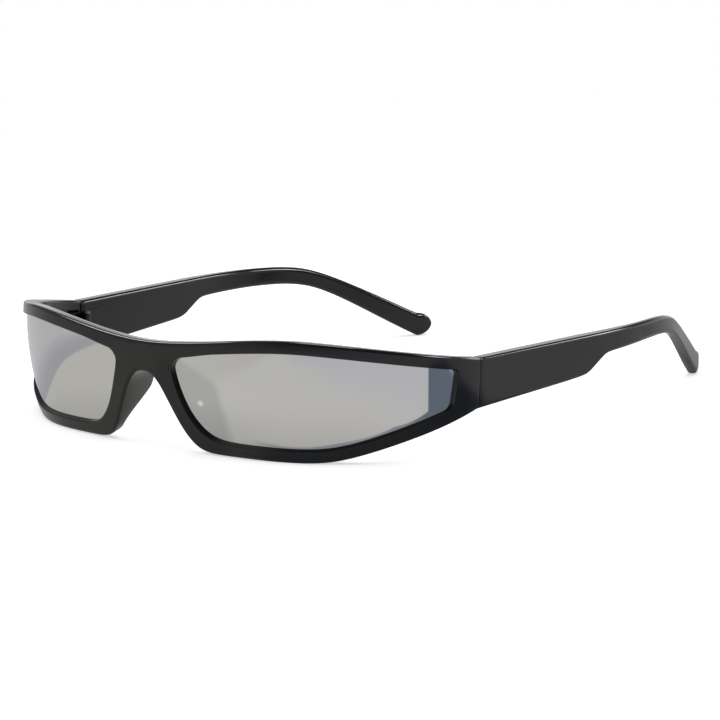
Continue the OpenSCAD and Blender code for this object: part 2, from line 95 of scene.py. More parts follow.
# Radii of the edges of the outline, of the opening and of the seam
EDGE_R = 0.75
OPEN_EDGE_R = 0.35
SEAM_EDGE = 0.25

# The nose pads: how far they stand out behind the rim, their thickness and crest, how far they lean
# out, and the shares of the nose flank over which they rise, hold and fall
PAD_DEPTH = 9.2
PAD_T = 2.6
PAD_CREST_R = 1.1
PAD_SPREAD = 0.16
PAD_RISE = 0.34
PAD_HOLD = 0.16
PAD_FALL = 0.32
# Divisors that give the lean and the rise of a pad at its foot, the flat strip beside the rim's rear
# edge, and the rounded strip beside a pad's crest
FOOT_LEAN_PART = 3
FOOT_RISE_PART = 12
REAR_STRIP = 0.2
CREST_STRIP = 0.6

# The lenses, with their depth behind the front face at the nose and at the end
LENS_T = 1.3
LENS_RECESS = 1.1
END_RECESS = 0.9
GROOVE_DEPTH = 0.9
LENS_GAP = 0.05

# The temples, in millimetres, s along a temple from the seam: straight, curved inward, straight
SEAM_GAP = 0.15
SPLAY = math.radians(1.9)
STRAIGHT_LEN = 46.5
INWARD_R = 118.0
CURVE_END = 100.0
TEMPLE_LEN = 134.2
# The step from the slab to the slim arm, and the depths of the arm behind it, at the ear and at the tip
STEP_START = 44.2
STEP_LEN = 8.0
STEP_END = STEP_START + STEP_LEN
STEP_SOFT = 0.22
SLAB_RISE = 2.6
STEP_ARM_H = 5.7
ARM_H = 4.9
TIP_H = 6.7
# Thickness of the arm and of the tip, and the length over which either is reached
ARM_T = 2.8
TIP_T = 3.1
THICK_LEN = 30.0
EAR_BEND_S = 93.5
EAR_BEND_LEN = 10.0
# Length of the tip's round, and the share of its thickness that is left at its end
TIP_ROUND = 4.6
TIP_PINCH = 0.45
TEMPLE_EDGE_R = 0.85
TIP_EDGE_R = 1.25
TEMPLE_END_EDGE = 0.2
# Largest shares of the half height and of the thickness that an edge's round may take, and the share
# of the round at which a row of points beside it holds it
EDGE_SHARE_H = 0.8
EDGE_SHARE_T = 0.42
EDGE_HOLD = 0.12

# The pockets of the hinge leaves, in millimetres from the hinge axis
AXIS_INSET = 1.65
POCKET_OPEN = 1.5
LEAF_T = 0.9
LEAF_GAP = 0.05
LEAF_OVER = 0.15
LEAF_ROOM = 0.9
STACK_H = 6.92
FRONT_LEAF_LEN = SIDE_U - OPEN_END_U - GROOVE_DEPTH - LEAF_ROOM
TEMPLE_LEAF_LEN = 8.5

# Steps of the front's mesh, counted round one opening from the middle of the bridge
BRIDGE_STEPS = 28
FLANK_STEPS = 90
LOW_STEPS = 130
END_STEPS = BRIDGE_STEPS
BROW_STEPS = FLANK_STEPS + LOW_STEPS
END_FIRST = BRIDGE_STEPS + FLANK_STEPS + LOW_STEPS
# Where the nose flank ends, on the opening and on the outline, and its straight part below the corner
FLANK_U = 20.0
FLANK_OUT_U = 18.0
FLANK_STRAIGHT = 0.8
# Steps across the rim: its rounds, its flat as shares, and the rear up to the pad's crest
ARC_STEPS = 6
SMALL_ARC_STEPS = 4
FLAT_SHARES = np.array([0.04, 0.34, 0.67, 0.96])
FOOT_STEPS = 5
CREST_STEPS = 7
# Share of the way from the opening's round to the groove at which a row of points holds the round
GROOVE_LIP = 0.15
# How far the rim's steps lean from the outline's normal, as the least cosine and the one at corners
LEAST_SKEW = 0.5
CORNER_SKEW = 0.6
# Steps of a temple's mesh, and the margins of the finer steps before and after the step and the bend
SLAB_RINGS = 18
STEP_RINGS = 44
ARM_RINGS = 20
EAR_RINGS = 44
TIP_RINGS = 16
ROUND_RINGS = 22
SEAM_RINGS = 3
STEP_MARGIN = 4
EAR_MARGIN = 20
# Angle of the tip's round where its full length is reached, and where its mesh ends
TIP_FULL = math.radians(80)
TIP_CLOSE = math.radians(86)

# Steps and limits of the working out
RAW_STEPS = 400
PLAN_STEPS = 6000
PAST_SEAM = 6.0
SEAM_TRIES = 8
POINTS_AT_A_TIME = 4000
WELD_DIST = 1e-8
SHARP_TURN = math.radians(35)


def smooth(x):
    t = np.clip(x, 0.0, 1.0)
    return t * t * (3 - 2 * t)


def mix(a, b, f):
    return a + (b - a) * f


def soft_ramp(x, w):
    return (x + np.sqrt(x * x + w * w)) / 2


# Plan of the brow, summed in small steps so that its curvature changes softly
def turn_rate(u):
    part = np.clip((u - FRONT_ARC + TURN_SOFT) / (2 * TURN_SOFT), 0, 1)
    return mix(1 / FRONT_R, 1 / WRAP_R, part)


PLAN_U = np.linspace(0, SIDE_U + PAST_SEAM, PLAN_STEPS + 1)


def summed(rate):
    step_u = PLAN_U[1] - PLAN_U[0]
    return np.concatenate([[0], np.cumsum((rate[1:] + rate[:-1]) / 2) * step_u])


PLAN_TURN = summed(turn_rate(PLAN_U))
PLAN_X = summed(np.cos(PLAN_TURN))
PLAN_Y = summed(np.sin(PLAN_TURN))


def sheet(u, h, d):
    """Points of the sheet at u, h and a depth d behind its front face."""
    turn = np.interp(u, PLAN_U, PLAN_TURN)
    share = 1 - (1 - SEAM_DOME) * smooth((turn - FADE_TURN) / FADE_REACH)
    away = h - DOME_LEVEL
    fall = np.arctan(-away / DOME_R * share)
    out = -away * away / (2 * DOME_R) * share - d * np.cos(fall)
    x = np.interp(u, PLAN_U, PLAN_X) + np.sin(turn) * out
    y = np.interp(u, PLAN_U, PLAN_Y) - np.cos(turn) * out
    z = h + d * np.sin(fall)
    return np.stack([x, y * math.cos(FRONT_LEAN) + z * math.sin(FRONT_LEAN),
                     z * math.cos(FRONT_LEAN) - y * math.sin(FRONT_LEAN)], axis=-1)


# Outline and opening of the front, as heights at u
def brow_h(u):
    return (mix(BROW_MID_H, BROW_SIDE_H, smooth(u / BROW_RISE_LEN))
            + (SEAM_TOP_H - BROW_SIDE_H) * smooth((u - BROW_RISE_LEN) / (SIDE_U - BROW_RISE_LEN)))


def low_rise(u):
    full = soft_ramp(SIDE_U - LOW_TURN_U, LOW_TURN_LEN)
    return SEAM_LOW_H * soft_ramp(u - LOW_TURN_U, LOW_TURN_LEN) / full


def low_h(u):
    return low_rise(u) + ARCH_H * np.exp(-(u / ARCH_W) ** ARCH_POWER)


def rim_top(u):
    return mix(RIM_TOP_NOSE, RIM_TOP, smooth((u - OPEN_NOSE_U) / RIM_TOP_LEN))


def rim_low(u):
    return mix(RIM_LOW_NOSE, RIM_LOW_END, smooth((u - RIM_GROW_U) / (OPEN_END_U - RIM_GROW_U)))


def corner_drop(x, r):
    """How far a corner of radius r draws the edge in at a distance x from the end."""
    return np.where(x >= r, 0, r - np.sqrt(np.maximum(0, r * r - (r - x) ** 2)))


def top_edge(u):
    h = (brow_h(u) - rim_top(u) - corner_drop(u - OPEN_NOSE_U, NOSE_CORNER_R)
         - corner_drop(OPEN_END_U - u, END_CORNER_R))
    return np.stack([u, h], axis=-1)


def low_edge(u):
    h = (low_rise(u) + rim_low(u)
         + OPEN_ARCH_H * np.exp(-(np.maximum(0, u - RIM_NOSE) / OPEN_ARCH_W) ** 2)
         + corner_drop(u - OPEN_NOSE_U, NOSE_LOW_R) + corner_drop(OPEN_END_U - u, END_CORNER_R))
    return np.stack([u, h], axis=-1)


def eased_shares(steps):
    """Shares from 0 to 1 that lie close together at both ends."""
    return (1 - np.cos(np.linspace(0, math.pi, steps + 1))) / 2


def ease(a, b):
    return mix(a, b, eased_shares(RAW_STEPS))


def curve(height, a, b):
    u = ease(a, b)
    return np.stack([u, height(u)], axis=-1)


def spaced(path, shares):
    """Points at the given shares of a path's length."""
    run = np.concatenate([[0], np.cumsum(np.linalg.norm(np.diff(path, axis=0), axis=1))])
    at = np.asarray(shares) * run[-1]
    return np.stack([np.interp(at, run, path[:, k]) for k in range(2)], axis=-1)


def even(path, count):
    return spaced(path, np.linspace(0, 1, count + 1))


def seam_u(h, seam_y):
    """Where the sheet at a height h meets the plane of the seam."""
    u = np.full(np.shape(h), SIDE_U)
    for _ in range(SEAM_TRIES):
        u = u + seam_y - sheet(u, h, 0.0)[..., 1]
    return u


def low_corner(seam_y):
    """Where the lower edge meets the plane of the seam."""
    return seam_u(low_h(seam_u(np.array(SEAM_LOW_H), seam_y)), seam_y)


def edge_depth(gap, r):
    """Depth of a round of radius r at a distance from the edge."""
    inside = np.clip(gap, 0, r)
    return r - np.sqrt(np.maximum(0, r * r - (r - inside) ** 2))


def path_distance(points, path):
    """Distance from each point to a polyline, worked out for some of the points at a time."""
    a = path[:-1]
    ab = path[1:] - a
    found = []
    for first in range(0, len(points), POINTS_AT_A_TIME):
        rel = points[first:first + POINTS_AT_A_TIME, None, :] - a[None, :, :]
        t = np.clip((rel * ab).sum(-1) / (ab * ab).sum(-1), 0, 1)
        found.append(np.sqrt(((rel - t[..., None] * ab) ** 2).sum(-1)).min(axis=1))
    return np.concatenate(found)


def joined_parts(parts):
    """A closed ring from parts that each end where the next one starts."""
    return np.concatenate([part[:-1] for part in parts])


def matched_rings(seam_y):
    """As many points round one opening as round the outline, part by part."""
    # The rounds of the upper nose corner and of both end corners are split in their middle
    share = 1 - math.cos(math.radians(45))
    nose_split = OPEN_NOSE_U + NOSE_CORNER_R * share
    end_split = OPEN_END_U - END_CORNER_R * share
    flank_top = [[OPEN_NOSE_U, brow_h(OPEN_NOSE_U) - RIM_TOP_NOSE - NOSE_CORNER_R - FLANK_STRAIGHT]]
    bridge_in = np.concatenate([top_edge(ease(nose_split, OPEN_NOSE_U)), flank_top])
    flank_in = np.concatenate([flank_top, low_edge(ease(OPEN_NOSE_U, FLANK_U))])
    end_in = np.concatenate([low_edge(ease(end_split, OPEN_END_U)), top_edge(ease(OPEN_END_U, end_split))])
    low_end = low_corner(seam_y)
    end_h = mix(low_h(low_end), SEAM_TOP_H, eased_shares(END_STEPS))
    inner = [
        spaced(bridge_in, eased_shares(BRIDGE_STEPS)),
        even(flank_in, FLANK_STEPS),
        even(low_edge(ease(FLANK_U, end_split)), LOW_STEPS),
        spaced(end_in, eased_shares(END_STEPS)),
        even(top_edge(ease(end_split, nose_split)), BROW_STEPS),
    ]
    outer = [
        spaced(np.array([[0, BROW_MID_H], [0, low_h(0)]]), eased_shares(BRIDGE_STEPS)),
        even(curve(low_h, 0, FLANK_OUT_U), FLANK_STEPS),
        even(curve(low_h, FLANK_OUT_U, low_end), LOW_STEPS),
        np.stack([seam_u(end_h, seam_y), end_h], axis=-1),
        even(curve(brow_h, SIDE_U, 0), BROW_STEPS),
    ]
    return joined_parts(inner), joined_parts(outer)


def outlines(seam_y):
    """The brow and the lower edge over both halves, and the seam, each run on past its ends."""
    low_end = low_corner(seam_y)
    flip = np.array([-1, 1])
    halves = [curve(brow_h, 0, SIDE_U + PAST_SEAM), curve(low_h, 0, low_end + PAST_SEAM)]
    brow, low = [np.concatenate([path[::-1] * flip, path[1:]]) for path in halves]
    seam_h = np.linspace(low_h(low_end) - PAST_SEAM, SEAM_TOP_H + PAST_SEAM, RAW_STEPS)
    return brow, low, np.stack([seam_u(seam_h, seam_y), seam_h], axis=-1)


def pad_share(i):
    f = (i - BRIDGE_STEPS) / FLANK_STEPS
    return float(smooth(f / PAD_RISE) * (1 - smooth((f - PAD_RISE - PAD_HOLD) / PAD_FALL)))


def recess(u):
    return mix(LENS_RECESS, END_RECESS, u / OPEN_END_U)


def arc(steps):
    """A quarter round as distances in from one side and depths from the other, as shares of 1."""
    t = np.linspace(0, math.pi / 2, steps + 1)
    return 1 - np.cos(t), 1 - np.sin(t)


def bend(a, b, c, steps):
    """Points of a curve from a to c that leans toward b, without its first point."""
    t = np.linspace(0, 1, steps + 1)[1:, None]
    return (1 - t) ** 2 * np.array(a) + 2 * t * (1 - t) * np.array(b) + t ** 2 * np.array(c)


ARC_IN, ARC_DEEP = arc(ARC_STEPS)
SMALL_IN, SMALL_DEEP = arc(SMALL_ARC_STEPS)


def front_section(i, width, skew, groove):
    """Points across the rim as distance in and depth; the front ones first, then the back ones."""
    q, w = OPEN_EDGE_R, width
    share = pad_share(i)
    pad = PAD_DEPTH * share
    back, lean = FRONT_T + pad, pad * PAD_SPREAD
    groove_back = groove + LENS_T + 2 * LENS_GAP
    reach = EDGE_R / skew
    flats = mix(reach, w - q, FLAT_SHARES)
    # A depth that is left open follows the outline's round
    front = np.concatenate([
        np.stack([ARC_IN * reach, np.full(ARC_STEPS + 1, np.nan)], axis=-1),
        np.stack([flats, np.full(len(flats), np.nan)], axis=-1),
        np.stack([w - q + q * (1 - SMALL_DEEP), q * SMALL_IN], axis=-1),
        [[w, mix(q, groove, GROOVE_LIP)], [w, groove], [w - GROOVE_DEPTH, groove],
         [w - GROOVE_DEPTH, groove_back], [w, groove_back]],
        np.stack([w - q * SMALL_IN, FRONT_T - q * SMALL_DEEP], axis=-1)])
    crest_r = mix(reach, PAD_CREST_R, share)
    crest_deep = mix(EDGE_R, PAD_CREST_R, share)
    start = [w - q, FRONT_T]
    foot = [mix(w / 2, min(w / 2, PAD_T), share) + lean / FOOT_LEAN_PART, FRONT_T + pad / FOOT_RISE_PART]
    crest = [lean + mix(reach + REAR_STRIP, PAD_T - CREST_STRIP, share), back]
    middle = [(foot[0] + crest[0]) / 2, (foot[1] + crest[1]) / 2]
    rear = np.concatenate([
        bend(start, foot, middle, FOOT_STEPS),
        bend(middle, crest, [lean + crest_r, back], CREST_STEPS),
        np.stack([lean + crest_r * ARC_IN[::-1][1:], back - crest_deep * ARC_DEEP[::-1][1:]], axis=-1)])
    return front, rear


def front_half(seam_y):
    """Points of one half of the front, in rings round its opening."""
    inner, outer = matched_rings(seam_y)
    brow, low, seam = outlines(seam_y)
    count = len(inner)
    plan, depth, plain_back = [], [], []
    for i in range(count):
        a, b = outer[i], inner[i]
        width = float(np.linalg.norm(b - a))
        inward = (b - a) / width
        along = outer[(i + 1) % count] - outer[i - 1]
        skew = abs(inward[0] * along[1] - inward[1] * along[0]) / np.linalg.norm(along)
        if i <= BRIDGE_STEPS or i in (END_FIRST, END_FIRST + END_STEPS):
            skew = CORNER_SKEW
        front, rear = front_section(i, width, float(np.clip(skew, LEAST_SKEW, 1)), recess(b[0]))
        points = np.concatenate([front, rear])
        plan.append(a + inward * points[:, :1])
        depth.append(points[:, 1])
        plain_back.append((np.arange(len(points)) >= len(front)) & (pad_share(i) == 0))
    plan, depth = np.array(plan), np.array(depth)
    flat = plan.reshape(-1, 2)
    gap = np.minimum(path_distance(flat, brow), path_distance(flat, low))
    edge = np.maximum(edge_depth(gap, EDGE_R), edge_depth(path_distance(flat, seam), SEAM_EDGE))
    edge = edge.reshape(depth.shape)
    depth = np.where(np.isnan(depth), edge, depth)
    depth = np.where(plain_back, FRONT_T - edge, depth)
    return sheet(plan[..., 0], plan[..., 1], depth)


# Meshes
def band_faces(rings, across, closed=True, skip=None):
    """Quads between neighbouring rings of points; skip leaves out faces by ring and place."""
    faces = []
    for i in range(rings if closed else rings - 1):
        i2 = (i + 1) % rings
        for j in range(across):
            if skip and skip(i, j):
                continue
            j2 = (j + 1) % across
            faces.append((i * across + j, i * across + j2, i2 * across + j2, i2 * across + j))
    return faces


def soften(mesh):
    mesh.shade_smooth()
    mesh.set_sharp_from_angle(angle=SHARP_TURN)


def new_piece(name, points, faces):
    """A mesh object from points in millimetres of the part's frame, welded on the mirror plane."""
    mesh = bpy.data.meshes.new(name)
    mesh.from_pydata((np.asarray(points) * MM).tolist(), [], faces)
    bm = bmesh.new()
    bm.from_mesh(mesh)
    middle = [v for v in bm.verts if abs(v.co.x) < WELD_DIST]
    bmesh.ops.remove_doubles(bm, verts=middle, dist=WELD_DIST)
    bmesh.ops.recalc_face_normals(bm, faces=bm.faces)
    bm.to_mesh(mesh)
    bm.free()
    soften(mesh)
    piece = bpy.data.objects.new(name, mesh)
    bpy.context.scene.collection.objects.link(piece)
    return piece


def on_side(points, side):
    """Points of the left half, or their mirror image where side is -1."""
    return points * np.array([side, 1, 1])


def flipped(faces, shift):
    return [tuple(v + shift for v in reversed(face)) for face in faces]


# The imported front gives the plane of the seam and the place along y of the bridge's front
front_low, front_high = (np.array(corner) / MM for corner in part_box("front_frame"))
bridge_h = np.linspace(low_h(0.0), BROW_MID_H, RAW_STEPS)
bridge_gap = np.minimum(bridge_h - low_h(0.0), BROW_MID_H - bridge_h)
bridge = sheet(np.zeros(RAW_STEPS), bridge_h, edge_depth(bridge_gap, EDGE_R))
SHIFT_Y = front_low[1] - bridge[:, 1].min()
SEAM_Y = front_high[1]
SHEET_SEAM_Y = SEAM_Y - SHIFT_Y

# Front: two mirrored halves that meet at the bridge and stand on the ground
half = front_half(SHEET_SEAM_Y)
SHIFT = np.array([0, SHIFT_Y, -half[..., 2].min()])
rings, across = half.shape[:2]
half_faces = band_faces(rings, across, skip=lambda i, j: i < BRIDGE_STEPS and j == across - 1)
half_points = half.reshape(-1, 3) + SHIFT
front_points = np.concatenate([half_points, on_side(half_points, -1)])
front = new_piece("front", front_points, half_faces + flipped(half_faces, len(half_points)))


# Lenses: columns from the brow to the lower edge, seated in the groove
def lens_grid(depth):
    inner, outer = matched_rings(SHEET_SEAM_Y)
    away = outer - inner
    edge = inner + away / np.linalg.norm(away, axis=1, keepdims=True) * (GROOVE_DEPTH - LENS_GAP)
    share = np.linspace(0, 1, BRIDGE_STEPS + 1)[:, None]
    columns = [edge[:BRIDGE_STEPS + 1]]
    columns += [mix(edge[-j], edge[BRIDGE_STEPS + j], share) for j in range(1, BROW_STEPS)]
    columns.append(edge[END_FIRST:END_FIRST + END_STEPS + 1][::-1])
    grid = np.array(columns)
    return sheet(grid[..., 0], grid[..., 1], recess(grid[..., 0]) + depth) + SHIFT


def lens_piece(name, side):
    face = lens_grid(LENS_GAP)
    rear = lens_grid(LENS_GAP + LENS_T)
    columns, rows = face.shape[:2]
    shift = columns * rows

    def at(j, k):
        return j * rows + k

    front_faces = [(at(j, k), at(j + 1, k), at(j + 1, k + 1), at(j, k + 1))
                   for j in range(columns - 1) for k in range(rows - 1)]
    rim = [at(j, 0) for j in range(columns)]
    rim += [at(columns - 1, k) for k in range(1, rows)]
    rim += [at(j, rows - 1) for j in range(columns - 2, -1, -1)]
    rim += [at(0, k) for k in range(rows - 2, 0, -1)]
    rim_faces = [(a, a + shift, b + shift, b) for a, b in zip(rim, rim[1:] + rim[:1])]
    points = on_side(np.concatenate([face.reshape(-1, 3), rear.reshape(-1, 3)]), side)
    piece = new_piece(name, points, front_faces + flipped(front_faces, shift) + rim_faces)
    for polygon in piece.data.polygons:
        polygon.material_index = 0 if polygon.index < len(front_faces) else 1
    return piece


# Temples: they start at the corners of the front's end
low_corner_u = low_corner(SHEET_SEAM_Y)
seam_out = sheet(np.array(SIDE_U), np.array(SEAM_TOP_H), 0.0) + SHIFT
seam_low = sheet(low_corner_u, low_h(low_corner_u), 0.0) + SHIFT
TEMPLE_Y = SEAM_Y + SEAM_GAP
TIP_S = TEMPLE_LEN - TIP_ROUND
EAR_SLOPE = (seam_out[2] - TIP_H) / soft_ramp(TIP_S - EAR_BEND_S, EAR_BEND_LEN)


def temple_heading(s):
    return max(0.0, min(s, CURVE_END) - STRAIGHT_LEN) / INWARD_R - SPLAY


def temple_plan(s):
    a, b, t = min(s, STRAIGHT_LEN), max(0.0, s - CURVE_END), temple_heading(s)
    return np.array([seam_out[0] + a * math.sin(SPLAY) + INWARD_R * (math.cos(t) - math.cos(SPLAY))
                     - b * math.sin(t),
                     TEMPLE_Y + a * math.cos(SPLAY) + INWARD_R * (math.sin(t) + math.sin(SPLAY))
                     + b * math.cos(t)])


def temple_top(s):
    return seam_out[2] - EAR_SLOPE * soft_ramp(s - EAR_BEND_S, EAR_BEND_LEN)


def temple_low(s):
    x = (s - STEP_START) / STEP_LEN
    stepped = soft_ramp(x, STEP_SOFT) - soft_ramp(x - 1, STEP_SOFT)
    arm = mix(STEP_ARM_H, ARM_H, smooth((s - STEP_START) / (EAR_BEND_S - STEP_START)))
    arm = mix(arm, TIP_H, smooth((s - EAR_BEND_S) / (TIP_S - EAR_BEND_S)))
    return mix(seam_low[2] + SLAB_RISE * s / STEP_START, temple_top(s) - arm, stepped)


def temple_thick(s):
    slab = mix(FRONT_T, ARM_T, smooth((s - STEP_START) / THICK_LEN))
    return float(mix(slab, TIP_T, smooth((s - EAR_BEND_S) / THICK_LEN)))


def temple_lean(s, z):
    """How far the outer face lies inward at a height z, as on the front's end, fading to the step."""
    drop = (seam_out[0] - seam_low[0]) * (seam_out[2] - z) / (seam_out[2] - seam_low[2])
    return drop * (1 - smooth(s / STEP_START))


def temple_section(s, c, inset=0.0):
    """Points round a temple at s, closed up by a share c at the tip and set in by an inset."""
    p, t = temple_plan(s), temple_heading(s)
    level = min(s, TIP_S)
    top, low = temple_top(level), temple_low(level)
    mid, tall = (top + low) / 2, (top - low) / 2 * c - inset
    full = temple_thick(s)
    thick = full * mix(TIP_PINCH, 1, c) - 2 * inset
    side = (full - thick) / 2
    edge_r = mix(TEMPLE_EDGE_R, TIP_EDGE_R, float(smooth((s - STEP_END) / THICK_LEN)))
    r = min(edge_r, tall * EDGE_SHARE_H, thick * EDGE_SHARE_T)
    hold = EDGE_HOLD * r
    corner = np.stack([r * ARC_IN, tall - r * ARC_DEEP], axis=-1)
    upper = np.concatenate([[[0, tall - r - hold]], corner, [[r + hold, tall]],
                            [[thick - r - hold, tall]], [[thick, 0]] - corner[::-1] * [1, -1],
                            [[thick, tall - r - hold]]])
    outline = np.concatenate([upper, upper[::-1] * [1, -1]])
    z = mid + outline[:, 1]
    b = outline[:, 0] + side + temple_lean(s, z)
    return np.stack([p[0] - math.cos(t) * b, p[1] - math.sin(t) * b, z], axis=-1)


def seam_section(k):
    """The section at step k of the small round at the seam."""
    part = k / SEAM_RINGS
    inset = TEMPLE_END_EDGE * (1 - math.sin(math.acos(1 - part)))
    return temple_section(TEMPLE_END_EDGE * k / SEAM_RINGS, 1.0, inset)


def tip_section(angle):
    """The section at an angle of the round that ends the tip."""
    return temple_section(TIP_S + TIP_ROUND * math.sin(angle) / math.sin(TIP_FULL), math.cos(angle))


def temple_piece(name, side):
    step_before, step_after = STEP_START - STEP_MARGIN, STEP_END + STEP_MARGIN
    ear_before, ear_after = EAR_BEND_S - EAR_MARGIN, EAR_BEND_S + EAR_MARGIN
    spans = [(TEMPLE_END_EDGE, step_before, SLAB_RINGS), (step_before, step_after, STEP_RINGS),
             (step_after, ear_before, ARM_RINGS), (ear_before, ear_after, EAR_RINGS),
             (ear_after, TIP_S, TIP_RINGS)]
    sections = [seam_section(k) for k in range(SEAM_RINGS)]
    for start, end, steps in spans:
        sections += [temple_section(float(s), 1.0) for s in np.linspace(start, end, steps, endpoint=False)]
    sections += [tip_section(angle) for angle in np.linspace(0, TIP_CLOSE, ROUND_RINGS)]
    count, round_count = len(sections), len(sections[0])
    faces = band_faces(count, round_count, closed=False)
    faces.append(tuple(range(round_count)))
    faces.append(tuple((count - 1) * round_count + j for j in reversed(range(round_count))))
    return new_piece(name, on_side(np.concatenate(sections), side), faces)


# Pockets for the hinge leaves
def pocket_cutter(length, turn, side, ahead):
    """Box that opens the inner face for one hinge leaf; ahead is -1 for the front's leaf."""
    low, high = (np.array(corner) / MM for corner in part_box("hinge_screw_left"))
    axis_x, axis_y, stack_low = (low[0] + high[0]) / 2, (low[1] + high[1]) / 2, low[2]
    points = []
    for x in (AXIS_INSET - POCKET_OPEN, AXIS_INSET + LEAF_T + LEAF_GAP):
        for y in (SEAM_GAP - LEAF_GAP, SEAM_GAP + length + LEAF_GAP):
            for z in (-LEAF_OVER - LEAF_GAP, STACK_H + LEAF_OVER + LEAF_GAP):
                points.append((side * (axis_x + x * math.cos(turn) - y * math.sin(turn)),
                               axis_y + ahead * (x * math.sin(turn) + y * math.cos(turn)), stack_low + z))
    faces = [(0, 1, 3, 2), (4, 6, 7, 5), (0, 4, 5, 1), (2, 3, 7, 6), (0, 2, 6, 4), (1, 5, 7, 3)]
    return new_piece("cutter", points, faces)


def cut_pockets(piece, cutters):
    for cutter in cutters:
        cut = piece.modifiers.new("pocket", "BOOLEAN")
        cut.operation, cut.solver, cut.object = "DIFFERENCE", "EXACT", cutter
    shape = piece.evaluated_get(bpy.context.evaluated_depsgraph_get())
    made = bpy.data.meshes.new_from_object(shape)
    piece.modifiers.clear()
    piece.data = made
    soften(made)
    for cutter in cutters:
        bpy.data.objects.remove(cutter)


lens_left = lens_piece("lens.left", 1)
lens_right = lens_piece("lens.right", -1)
temple_left = temple_piece("temple.left", 1)
temple_right = temple_piece("temple.right", -1)
front_turn = FRONT_LEAF_LEN / (WRAP_R - FRONT_T) / 2
cut_pockets(front, [pocket_cutter(FRONT_LEAF_LEN, front_turn, side, -1) for side in (1, -1)])
cut_pockets(temple_left, [pocket_cutter(TEMPLE_LEAF_LEN, -SPLAY, 1, 1)])
cut_pockets(temple_right, [pocket_cutter(TEMPLE_LEAF_LEN, -SPLAY, -1, 1)])


# Shader nodes
def node(tree, kind, **values):
    made = tree.nodes.new(kind)
    for key, value in values.items():
        if key in made.inputs:
            made.inputs[key].default_value = value
        else:
            setattr(made, key, value)
    return made


def plug(tree, value, socket):
    """Sets a socket to a number, or links another socket to it."""
    if isinstance(value, (int, float)):
        socket.default_value = value
    else:
        tree.links.new(value, socket)


def maths(tree, operation, a, b):
    made = node(tree, "ShaderNodeMath", operation=operation)
    plug(tree, a, made.inputs[0])
    plug(tree, b, made.inputs[1])
    return made.outputs[0]


def product(tree, first, *others):
    for other in others:
        first = maths(tree, "MULTIPLY", first, other)
    return first


def larger(tree, a, b):
    return maths(tree, "MAXIMUM", a, b)


def ranged(tree, value, start, end, low, high, kind="LINEAR"):
    """Turns start to end into low to high."""
    made = node(tree, "ShaderNodeMapRange", interpolation_type=kind)
    for name, limit in zip(("From Min", "From Max", "To Min", "To Max"), (start, end, low, high)):
        made.inputs[name].default_value = limit
    tree.links.new(value, made.inputs["Value"])
    return made.outputs["Result"]


def step(tree, value, start, end):
    """0 before start, 1 after end, smooth between; end may be the smaller one."""
    if start < end:
        return ranged(tree, value, start, end, 0, 1, "SMOOTHSTEP")
    return ranged(tree, value, end, start, 1, 0, "SMOOTHSTEP")


def dot_with(tree, vector, way):
    made = node(tree, "ShaderNodeVectorMath", operation="DOT_PRODUCT")
    made.inputs[1].default_value = way
    tree.links.new(vector, made.inputs[0])
    return made.outputs["Value"]


def seen_directly(tree):
    """1 for rays from the camera, also through something clear, otherwise 0."""
    rays = node(tree, "ShaderNodeLightPath")
    return larger(tree, rays.outputs["Is Camera Ray"], rays.outputs["Is Transmission Ray"])


def diffuse(tree, colour):
    made = node(tree, "ShaderNodeBsdfDiffuse")
    tree.links.new(colour, made.inputs["Color"])
    return made.outputs[0]


def glow(tree, strength, colour=None):
    made = node(tree, "ShaderNodeEmission")
    plug(tree, strength, made.inputs["Strength"])
    if colour is not None:
        tree.links.new(colour, made.inputs["Color"])
    return made.outputs[0]


def blended(tree, share, first, second):
    """The first shader, turned to the second by a share."""
    made = node(tree, "ShaderNodeMixShader")
    plug(tree, share, made.inputs[0])
    tree.links.new(first, made.inputs[1])
    tree.links.new(second, made.inputs[2])
    return made.outputs[0]


def added(tree, first, second):
    made = node(tree, "ShaderNodeAddShader")
    tree.links.new(first, made.inputs[0])
    tree.links.new(second, made.inputs[1])
    return made.outputs[0]


# Materials, each with its own fine detail, by the size of its features in millimetres. The spans are
# the levels of the noise that are turned into roughness and into tones
NOISE_SPAN = (0.3, 0.7)
TONE_SPAN = (0.35, 0.65)
BLACK_TONE = (0.0045, 0.0045, 0.005)
MIRROR_TONES = (0.65, 0.65, 0.645), (0.67, 0.67, 0.665)
REAR_TONES = (0.018, 0.02, 0.022), (0.026, 0.028, 0.03)
BLACK_NICKEL_TONE = (0.06, 0.058, 0.056)
GREY_NICKEL_TONE = (0.3, 0.295, 0.285)
DARKER = 0.85
LIGHTER = 1.2
SMOOTHER = 0.8
ROUGHER = 1.25
PLASTIC_IOR = 1.5
LENS_IOR = 1.55
# Stretch of the noise that makes brush marks
BRUSHED = (1, 1, 6)


def blank_material(name, kind):
    """A new material with one shader."""
    made = bpy.data.materials.new(name)
    made.use_nodes = True
    tree = made.node_tree
    tree.nodes.clear()
    output = node(tree, "ShaderNodeOutputMaterial")
    shader = node(tree, kind)
    tree.links.new(shader.outputs[0], output.inputs["Surface"])
    return made, tree, shader


def object_noise(tree, size_mm, detail=2.0, stretch=(1, 1, 1)):
    """Noise with features of about size_mm, fixed to the object."""
    place = node(tree, "ShaderNodeTexCoord")
    scaled = node(tree, "ShaderNodeMapping")
    scaled.inputs["Scale"].default_value = [1 / MM / size_mm * s for s in stretch]
    noise = node(tree, "ShaderNodeTexNoise", Scale=1.0, Detail=detail, Roughness=0.5)
    tree.links.new(place.outputs["Object"], scaled.inputs["Vector"])
    tree.links.new(scaled.outputs["Vector"], noise.inputs["Vector"])
    return noise.outputs["Fac"]


